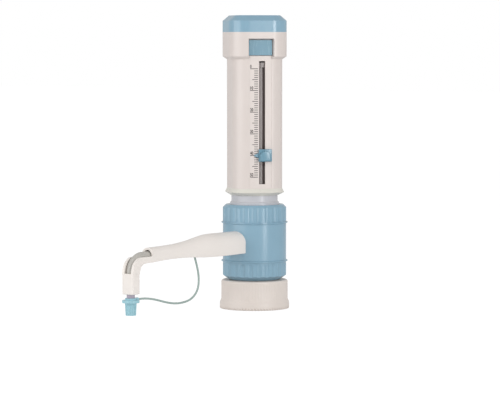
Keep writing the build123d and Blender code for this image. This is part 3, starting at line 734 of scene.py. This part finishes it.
def bent_tube():
    """The discharge tube: straight from the housing, a quarter bend, and the open nozzle."""
    bend_reach = nozzle_reach - bend_r
    bend_level = tube_level - bend_r
    # reach, height, direction and radius of each ring; the last ones turn back into the bore
    path = [(tube_start, tube_level, 90.0, tube_r), (bend_reach, tube_level, 90.0, tube_r)]
    for step in range(1, bend_steps):
        direction = 90.0 - 90.0 * step / bend_steps
        angle = math.radians(direction)
        reach = bend_reach + bend_r * math.cos(angle)
        path.append((reach, bend_level + bend_r * math.sin(angle), direction, tube_r))
    path += [
        (nozzle_reach, bend_level, 0.0, tube_r),
        (nozzle_reach, nozzle_tip + nozzle_chamfer_height, 0.0, tube_r),
        (nozzle_reach, nozzle_tip, 0.0, tube_r - nozzle_chamfer),
        (nozzle_reach, nozzle_tip, 0.0, tube_bore_r),
        (nozzle_reach, nozzle_tip + nozzle_bore_length, 0.0, tube_bore_r),
    ]
    rings = []
    for reach, height, direction, r in path:
        angle = math.radians(direction)
        ring = []
        for turn in full_turn(tube_steps):
            out = r * math.cos(turn)
            x = -(reach + out * math.cos(angle))
            ring.append((x, r * math.sin(turn), height + out * math.sin(angle)))
        rings.append(ring)
    mesh_builder = bmesh.new()
    skin(mesh_builder, rings)
    return finished_mesh("discharge tube", mesh_builder, tube_fluoropolymer_painted_shade, sharp_angle=38)


spout_cover = new_piece("spout_cover", moulded_spout(), "valve")
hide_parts("discharge_cover")
tube = new_piece("bent_tube", bent_tube(), "valve")
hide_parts("discharge_tube")


def rounded_outline(left, right, low, high, r):
    """A rectangle with round corners, as places across the panel and up."""
    corners = [
        (right - r, high - r, 0),
        (left + r, high - r, 90),
        (left + r, low + r, 180),
        (right - r, low + r, 270),
    ]
    points = []
    for x, y, start in corners:
        points += quarter_round(x, y, r, start)
    return points


def panel_prism(mesh_builder, outline, levels):
    """A solid of the slider; levels give its distance from the axis and its outline's scale."""
    middle = Vector([sum(point[i] for point in outline) / len(outline) for i in range(2)])
    rings = []
    for distance, scale in levels:
        ring = []
        for across, up in outline:
            point = middle + (Vector((across, up)) - middle) * scale
            place = panel_normal * distance + panel_right * point.x
            ring.append((place.x, place.y, pointer_level + point.y))
        rings.append(ring)
    skin(mesh_builder, rings)


def clamped_slider():
    """The volume slider: its plate, the button that the thumb presses, the stem and the pointer."""
    mesh_builder = bmesh.new()
    plate = rounded_outline(
        plate_left, plate_right, -plate_half_height, plate_half_height, plate_corner
    )
    plate_levels = [(plate_back, 1.0)]
    plate_levels += [(plate_front - depth, share) for depth, share in plate_edge]
    panel_prism(mesh_builder, plate, plate_levels)

    button_r = (button_right - button_left) / 2
    button_middle = (button_right + button_left) / 2
    button_low = -plate_half_height + button_margin
    button = [(button_right, button_low)]
    button += half_round(button_middle, button_top - button_r, button_r)
    button.append((button_left, button_low))
    button_levels = [(plate_front - slider_overlap, 1.0)]
    button_levels += [(button_front - depth, share) for depth, share in button_edge]
    panel_prism(mesh_builder, button, button_levels)

    stem = rounded_outline(stem_left, stem_right, stem_low, stem_high, stem_corner)
    panel_prism(mesh_builder, stem, [(stem_back, 1.0), (plate_back + slider_overlap, 1.0)])

    pointer_root = plate_left + slider_overlap
    pointer = [
        (pointer_root, pointer_half_root), (pointer_end, pointer_half_tip),
        (pointer_end, -pointer_half_tip), (pointer_root, -pointer_half_root),
    ]
    panel_prism(mesh_builder, pointer, [(plate_back, 1.0), (plate_back + pointer_thickness, 1.0)])
    return finished_mesh("slider", mesh_builder, tile_polyester_painted_shade, sharp_angle=32)


slider = new_piece("slider", clamped_slider(), "slider")
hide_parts("volume_slider")


def knurled_collar():
    """The collar as a turned profile, with shallow ribs and a notched lower edge."""
    inset_r = collar_r - collar_corner_r
    inset_height = collar_height - collar_corner_r
    corner = arc(inset_r, inset_height, collar_corner_r, 0, 90, collar_corner_steps)
    # radius, height, share of the rib's relief, share of the notch's depth
    profile = [
        (collar_hole_r, collar_ceiling, 0, 0),
        (collar_chamber_r, collar_ceiling, 0, 0),
        (collar_chamber_r, collar_bore_length, 0, 0),
        (bottle_thread_r, collar_bore_length, 0, 0),
        (bottle_thread_r, 0.4, 0, 0),
        (bottle_thread_r + 0.4, 0.0, 0, 0),
        (skirt_r - 0.9, 0.0, 0, 1),
        (skirt_r - 0.3, 0.1, 0, 1),
        (skirt_r, 0.4, 0, 1),
        (skirt_r, notch_height, 0, 1),
        (skirt_r, notch_height + 0.4, 0, 0),
        (skirt_r - 0.05, skirt_height - 1.7, 0, 0),
        (skirt_r - 0.3, skirt_height - 0.8, 0, 0),
        (skirt_r - 0.7, skirt_height, 0.2, 0),
        (skirt_r - 1.05, skirt_height + 0.8, 0.6, 0),
        (collar_r, skirt_height + 1.6, 1, 0),
        (collar_r, inset_height - 1.0, 1, 0),
        (collar_r, inset_height - 0.5, 0, 0),
        *[(r, z, 0, 0) for r, z in corner],
        (collar_hole_r, collar_height, 0, 0),
    ]
    rings = []
    for segment, turn in enumerate(full_turn(rib_count * steps_per_rib)):
        phase = segment % steps_per_rib
        rib = 0.5 + 0.5 * math.cos(2 * math.pi * phase / steps_per_rib)
        notch = 1.0 if phase in notched_steps else 0.0
        ring = []
        for r, z, ribbed, notched in profile:
            radius = r - rib_relief * ribbed * (1 - rib) - notch_depth * notched * notch
            ring.append((radius * math.cos(turn), radius * math.sin(turn), z))
        rings.append(ring)
    mesh_builder = bmesh.new()
    skin(mesh_builder, rings, loop=True)
    return finished_mesh("collar", mesh_builder, collar_polypropylene, sharp_angle=35)


collar = new_piece("collar", knurled_collar(), "collar")
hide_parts("bottle_collar")


def geometry_tree(name, sockets):
    """A geometry tree with named inputs, and the sockets that give their values inside it."""
    tree = bpy.data.node_groups.new(name, "GeometryNodeTree")
    tree.interface.new_socket("Geometry", in_out="OUTPUT", socket_type="NodeSocketGeometry")
    for label, kind in sockets.items():
        tree.interface.new_socket(label, in_out="INPUT", socket_type=kind)
    sizes = tree.nodes.new("NodeGroupInput").outputs
    return tree, sizes


def end_tree(tree, geometry, material):
    """Makes what a tree has grown real, gives it its material and hands it out."""
    real = add_node(tree, "GeometryNodeRealizeInstances", {"Geometry": geometry})
    coloured = add_node(
        tree,
        "GeometryNodeSetMaterial",
        {"Geometry": real.outputs["Geometry"], "Material": material},
    )
    add_node(tree, "NodeGroupOutput", {"Geometry": coloured.outputs["Geometry"]})


def grown_mesh(name, tree, values):
    """The plain mesh that a geometry tree makes with these values."""
    carrier = bpy.data.objects.new(name, bpy.data.meshes.new(name))
    bpy.context.scene.collection.objects.link(carrier)
    modifier = carrier.modifiers.new(name, "NODES")
    modifier.node_group = tree
    for item in tree.interface.items_tree:
        if item.item_type == "SOCKET" and item.in_out == "INPUT":
            modifier[item.identifier] = values[item.name]
    bpy.context.view_layer.update()
    graph = bpy.context.evaluated_depsgraph_get()
    mesh = bpy.data.meshes.new_from_object(carrier.evaluated_get(graph))
    bpy.data.objects.remove(carrier)
    return mesh


def bottle_thread_tree():
    """A rounded ridge that climbs inside the collar."""
    tree, sizes = geometry_tree(
        "bottle thread",
        {
            "Radius": "NodeSocketFloat",
            "Pitch": "NodeSocketFloat",
            "Turns": "NodeSocketFloat",
            "Relief": "NodeSocketFloat",
            "Plastic": "NodeSocketMaterial",
        },
    )
    climb = add_node(
        tree,
        "ShaderNodeMath",
        {0: sizes["Pitch"], 1: sizes["Turns"]},
        operation="MULTIPLY",
    )
    helix = add_node(
        tree,
        "GeometryNodeCurveSpiral",
        {
            "Resolution": 96,
            "Rotations": sizes["Turns"],
            "Start Radius": sizes["Radius"],
            "End Radius": sizes["Radius"],
            "Height": climb.outputs[0],
        },
    )
    ridge = add_node(
        tree,
        "GeometryNodeCurvePrimitiveCircle",
        {"Resolution": 12, "Radius": sizes["Relief"]},
        mode="RADIUS",
    )
    swept = add_node(
        tree,
        "GeometryNodeCurveToMesh",
        {
            "Curve": helix.outputs["Curve"],
            "Profile Curve": ridge.outputs["Curve"],
            "Fill Caps": True,
        },
    )
    end_tree(tree, swept.outputs["Mesh"], sizes["Plastic"])
    return tree


def scale_mark_tree():
    """The scale's lines, one to a millilitre, longer at every fifth and tenth."""
    tree, sizes = geometry_tree(
        "scale marks",
        {
            "Count": "NodeSocketInt",
            "Pitch": "NodeSocketFloat",
            "Short": "NodeSocketFloat",
            "Medium": "NodeSocketFloat",
            "Long": "NodeSocketFloat",
            "Stroke": "NodeSocketFloat",
            "Relief": "NodeSocketFloat",
            "Ink": "NodeSocketMaterial",
        },
    )
    down = add_node(tree, "ShaderNodeMath", {0: sizes["Pitch"], 1: -1.0}, operation="MULTIPLY")
    step = add_node(tree, "ShaderNodeCombineXYZ", {"Y": down.outputs[0]})
    places = add_node(
        tree,
        "GeometryNodeMeshLine",
        {"Count": sizes["Count"], "Offset": step.outputs["Vector"]},
        mode="OFFSET",
        count_mode="TOTAL",
    )
    size = add_node(
        tree,
        "ShaderNodeCombineXYZ",
        {"X": 1.0, "Y": sizes["Stroke"], "Z": sizes["Relief"]},
    )
    block = add_node(tree, "GeometryNodeMeshCube", {"Size": size.outputs["Vector"]})
    lift = add_node(tree, "ShaderNodeMath", {0: sizes["Relief"], 1: 0.5}, operation="MULTIPLY")
    shift = add_node(tree, "ShaderNodeCombineXYZ", {"X": -0.5, "Z": lift.outputs[0]})
    line = add_node(
        tree,
        "GeometryNodeTransform",
        {"Geometry": block.outputs["Mesh"], "Translation": shift.outputs["Vector"]},
    )
    index = add_node(tree, "GeometryNodeInputIndex").outputs["Index"]
    fifth = add_node(tree, "ShaderNodeMath", {0: index, 1: medium_every}, operation="MODULO")
    tenth = add_node(tree, "ShaderNodeMath", {0: index, 1: long_every}, operation="MODULO")
    not_fifth = add_node(
        tree,
        "ShaderNodeMath",
        {0: fifth.outputs[0], 1: 0.5},
        operation="GREATER_THAN",
    )
    not_tenth = add_node(
        tree,
        "ShaderNodeMath",
        {0: tenth.outputs[0], 1: 0.5},
        operation="GREATER_THAN",
    )
    longer = add_node(
        tree,
        "GeometryNodeSwitch",
        {"Switch": not_tenth.outputs[0], "False": sizes["Long"], "True": sizes["Medium"]},
        input_type="FLOAT",
    )
    length = add_node(
        tree,
        "GeometryNodeSwitch",
        {"Switch": not_fifth.outputs[0], "False": longer.outputs["Output"], "True": sizes["Short"]},
        input_type="FLOAT",
    )
    stretch = add_node(
        tree,
        "ShaderNodeCombineXYZ",
        {"X": length.outputs["Output"], "Y": 1.0, "Z": 1.0},
    )
    lines = add_node(
        tree,
        "GeometryNodeInstanceOnPoints",
        {
            "Points": places.outputs["Mesh"],
            "Instance": line.outputs["Geometry"],
            "Scale": stretch.outputs["Vector"],
        },
    )
    end_tree(tree, lines.outputs["Instances"], sizes["Ink"])
    return tree


def on_panel(across, up):
    """The matrix from flat print, x to the right and y up, to a place on the scale's panel."""
    origin = panel_normal * panel_distance + panel_right * across + Vector((0.0, 0.0, up))
    turn = Matrix((panel_right, Vector((0.0, 0.0, 1.0)), panel_normal)).transposed()
    return Matrix.Translation(origin * MM) @ turn.to_4x4()


thread_mesh = grown_mesh(
    "bottle thread",
    bottle_thread_tree(),
    {
        "Radius": (bottle_thread_r + thread_sink) * MM,
        "Pitch": thread_pitch * MM,
        "Turns": thread_turns,
        "Relief": thread_relief * MM,
        "Plastic": collar_polypropylene,
    },
)
thread_mesh.transform(Matrix.Translation((0.0, 0.0, thread_start * MM)))
new_piece("bottle_thread", thread_mesh, "collar")

marks_right = slot_left - mark_gap
marks_mesh = grown_mesh(
    "scale marks",
    scale_mark_tree(),
    {
        "Count": mark_count,
        "Pitch": mark_pitch * MM,
        "Short": short_mark * MM,
        "Medium": medium_mark * MM,
        "Long": long_mark * MM,
        "Stroke": mark_stroke * MM,
        "Relief": print_relief * MM,
        "Ink": printing_ink,
    },
)
marks_mesh.transform(on_panel(marks_right, zero_mark))
new_piece("scale_marks", marks_mesh, "shroud")


def scale_number(value):
    """A number printed just above its line, its left end in line with the line's."""
    text = bpy.data.curves.new(f"number {value}", "FONT")
    text.body = str(value)
    text.size = 1.0
    text.extrude = letter_extrusion
    text.offset = letter_swell
    text.resolution_u = 3
    carrier = bpy.data.objects.new(text.name, text)
    bpy.context.scene.collection.objects.link(carrier)
    bpy.context.view_layer.update()
    mesh = bpy.data.meshes.new_from_object(carrier)
    bpy.data.objects.remove(carrier)
    low = Vector([min(v.co[i] for v in mesh.vertices) for i in range(3)])
    high = Vector([max(v.co[i] for v in mesh.vertices) for i in range(3)])
    width = digit_width if value >= 10 else digit_width * single_digit_share
    mesh.transform(Matrix.Translation(-low))
    fit = Matrix.Diagonal((
        width / (high.x - low.x),
        digit_height / (high.y - low.y),
        print_relief / (2 * letter_extrusion),
        1.0,
    ))
    mesh.transform(Matrix.Diagonal((MM, MM, MM, 1.0)) @ fit)
    left = marks_right - long_mark
    up = zero_mark - value * mark_pitch + mark_stroke * number_lift
    mesh.transform(on_panel(left, up))
    mesh.materials.clear()
    mesh.materials.append(printing_ink)
    return mesh


for value in range(0, mark_count, long_every):
    new_piece(f"scale_number_{value}", scale_number(value), "shroud")


def studio_floor_paint():
    """White paint that glows for the camera, so that the floor is white and keeps its shadows."""
    material = blank_material("white studio floor")
    tree = material.node_tree
    rays = add_node(tree, "ShaderNodeLightPath").outputs
    seen = add_node(
        tree,
        "ShaderNodeMath",
        {0: rays["Is Camera Ray"], 1: floor_glow_share},
        operation="MULTIPLY",
    )
    paint = add_node(tree, "ShaderNodeBsdfDiffuse", {"Color": (0.9, 0.9, 0.9, 1.0)})
    glow = add_node(tree, "ShaderNodeEmission", {"Strength": floor_glow})
    mixed = add_node(
        tree,
        "ShaderNodeMixShader",
        {0: seen.outputs[0], 1: paint.outputs["BSDF"], 2: glow.outputs["Emission"]},
    )
    add_node(tree, "ShaderNodeOutputMaterial", {"Surface": mixed.outputs["Shader"]})
    return material


def white_surroundings():
    """A world that shows white, also through glass, and lights at the ambient strength."""
    world = bpy.data.worlds.new("studio")
    world.use_nodes = True
    tree = world.node_tree
    tree.nodes.clear()
    rays = add_node(tree, "ShaderNodeLightPath").outputs
    seen_through = {0: rays["Is Camera Ray"], 1: rays["Is Transmission Ray"]}
    shown = add_node(tree, "ShaderNodeMath", seen_through, operation="MAXIMUM")
    strength = add_node(
        tree,
        "ShaderNodeMapRange",
        {"Value": shown.outputs[0], "To Min": ambient_strength, "To Max": 1.0},
    )
    sky = add_node(
        tree,
        "ShaderNodeBackground",
        {"Color": (1.0, 1.0, 1.0, 1.0), "Strength": strength.outputs["Result"]},
    )
    add_node(tree, "ShaderNodeOutputWorld", {"Surface": sky.outputs["Background"]})
    return world


floor_mesh = bpy.data.meshes.new("floor")
floor_corners = [
    (x * floor_reach, y * floor_reach, floor_level)
    for x, y in ((-1, -1), (1, -1), (1, 1), (-1, 1))
]
floor_mesh.from_pydata(floor_corners, [], [(0, 1, 2, 3)])
floor_mesh.materials.append(studio_floor_paint())
floor = bpy.data.objects.new("floor", floor_mesh)
bpy.context.scene.collection.objects.link(floor)
bpy.context.scene.world = white_surroundings()


def softbox(name, turn, height, distance, width, tall, radiance):
    """A rectangular lamp that faces the object, turned from the camera's direction to the right."""
    angle = math.radians(turn)
    direction = back * math.cos(angle) + right * math.sin(angle)
    lamp = bpy.data.lights.new(name, "AREA")
    lamp.shape = "RECTANGLE"
    lamp.size = width
    lamp.size_y = tall
    lamp.energy = radiance * math.pi * width * tall
    holder = bpy.data.objects.new(name, lamp)
    bpy.context.scene.collection.objects.link(holder)
    holder.location = direction * distance + Vector((0.0, 0.0, height))
    aim = lamp_target - holder.location
    holder.rotation_euler = aim.to_track_quat("-Z", "Y").to_euler()


softbox("left softbox", turn=-59.0, height=0.2, distance=1.0, width=0.9, tall=1.0, radiance=2.1)
softbox("right strip", turn=38.0, height=0.2, distance=1.1, width=0.3, tall=1.0, radiance=7.0)

bpy.context.scene.view_settings.view_transform = "Standard"
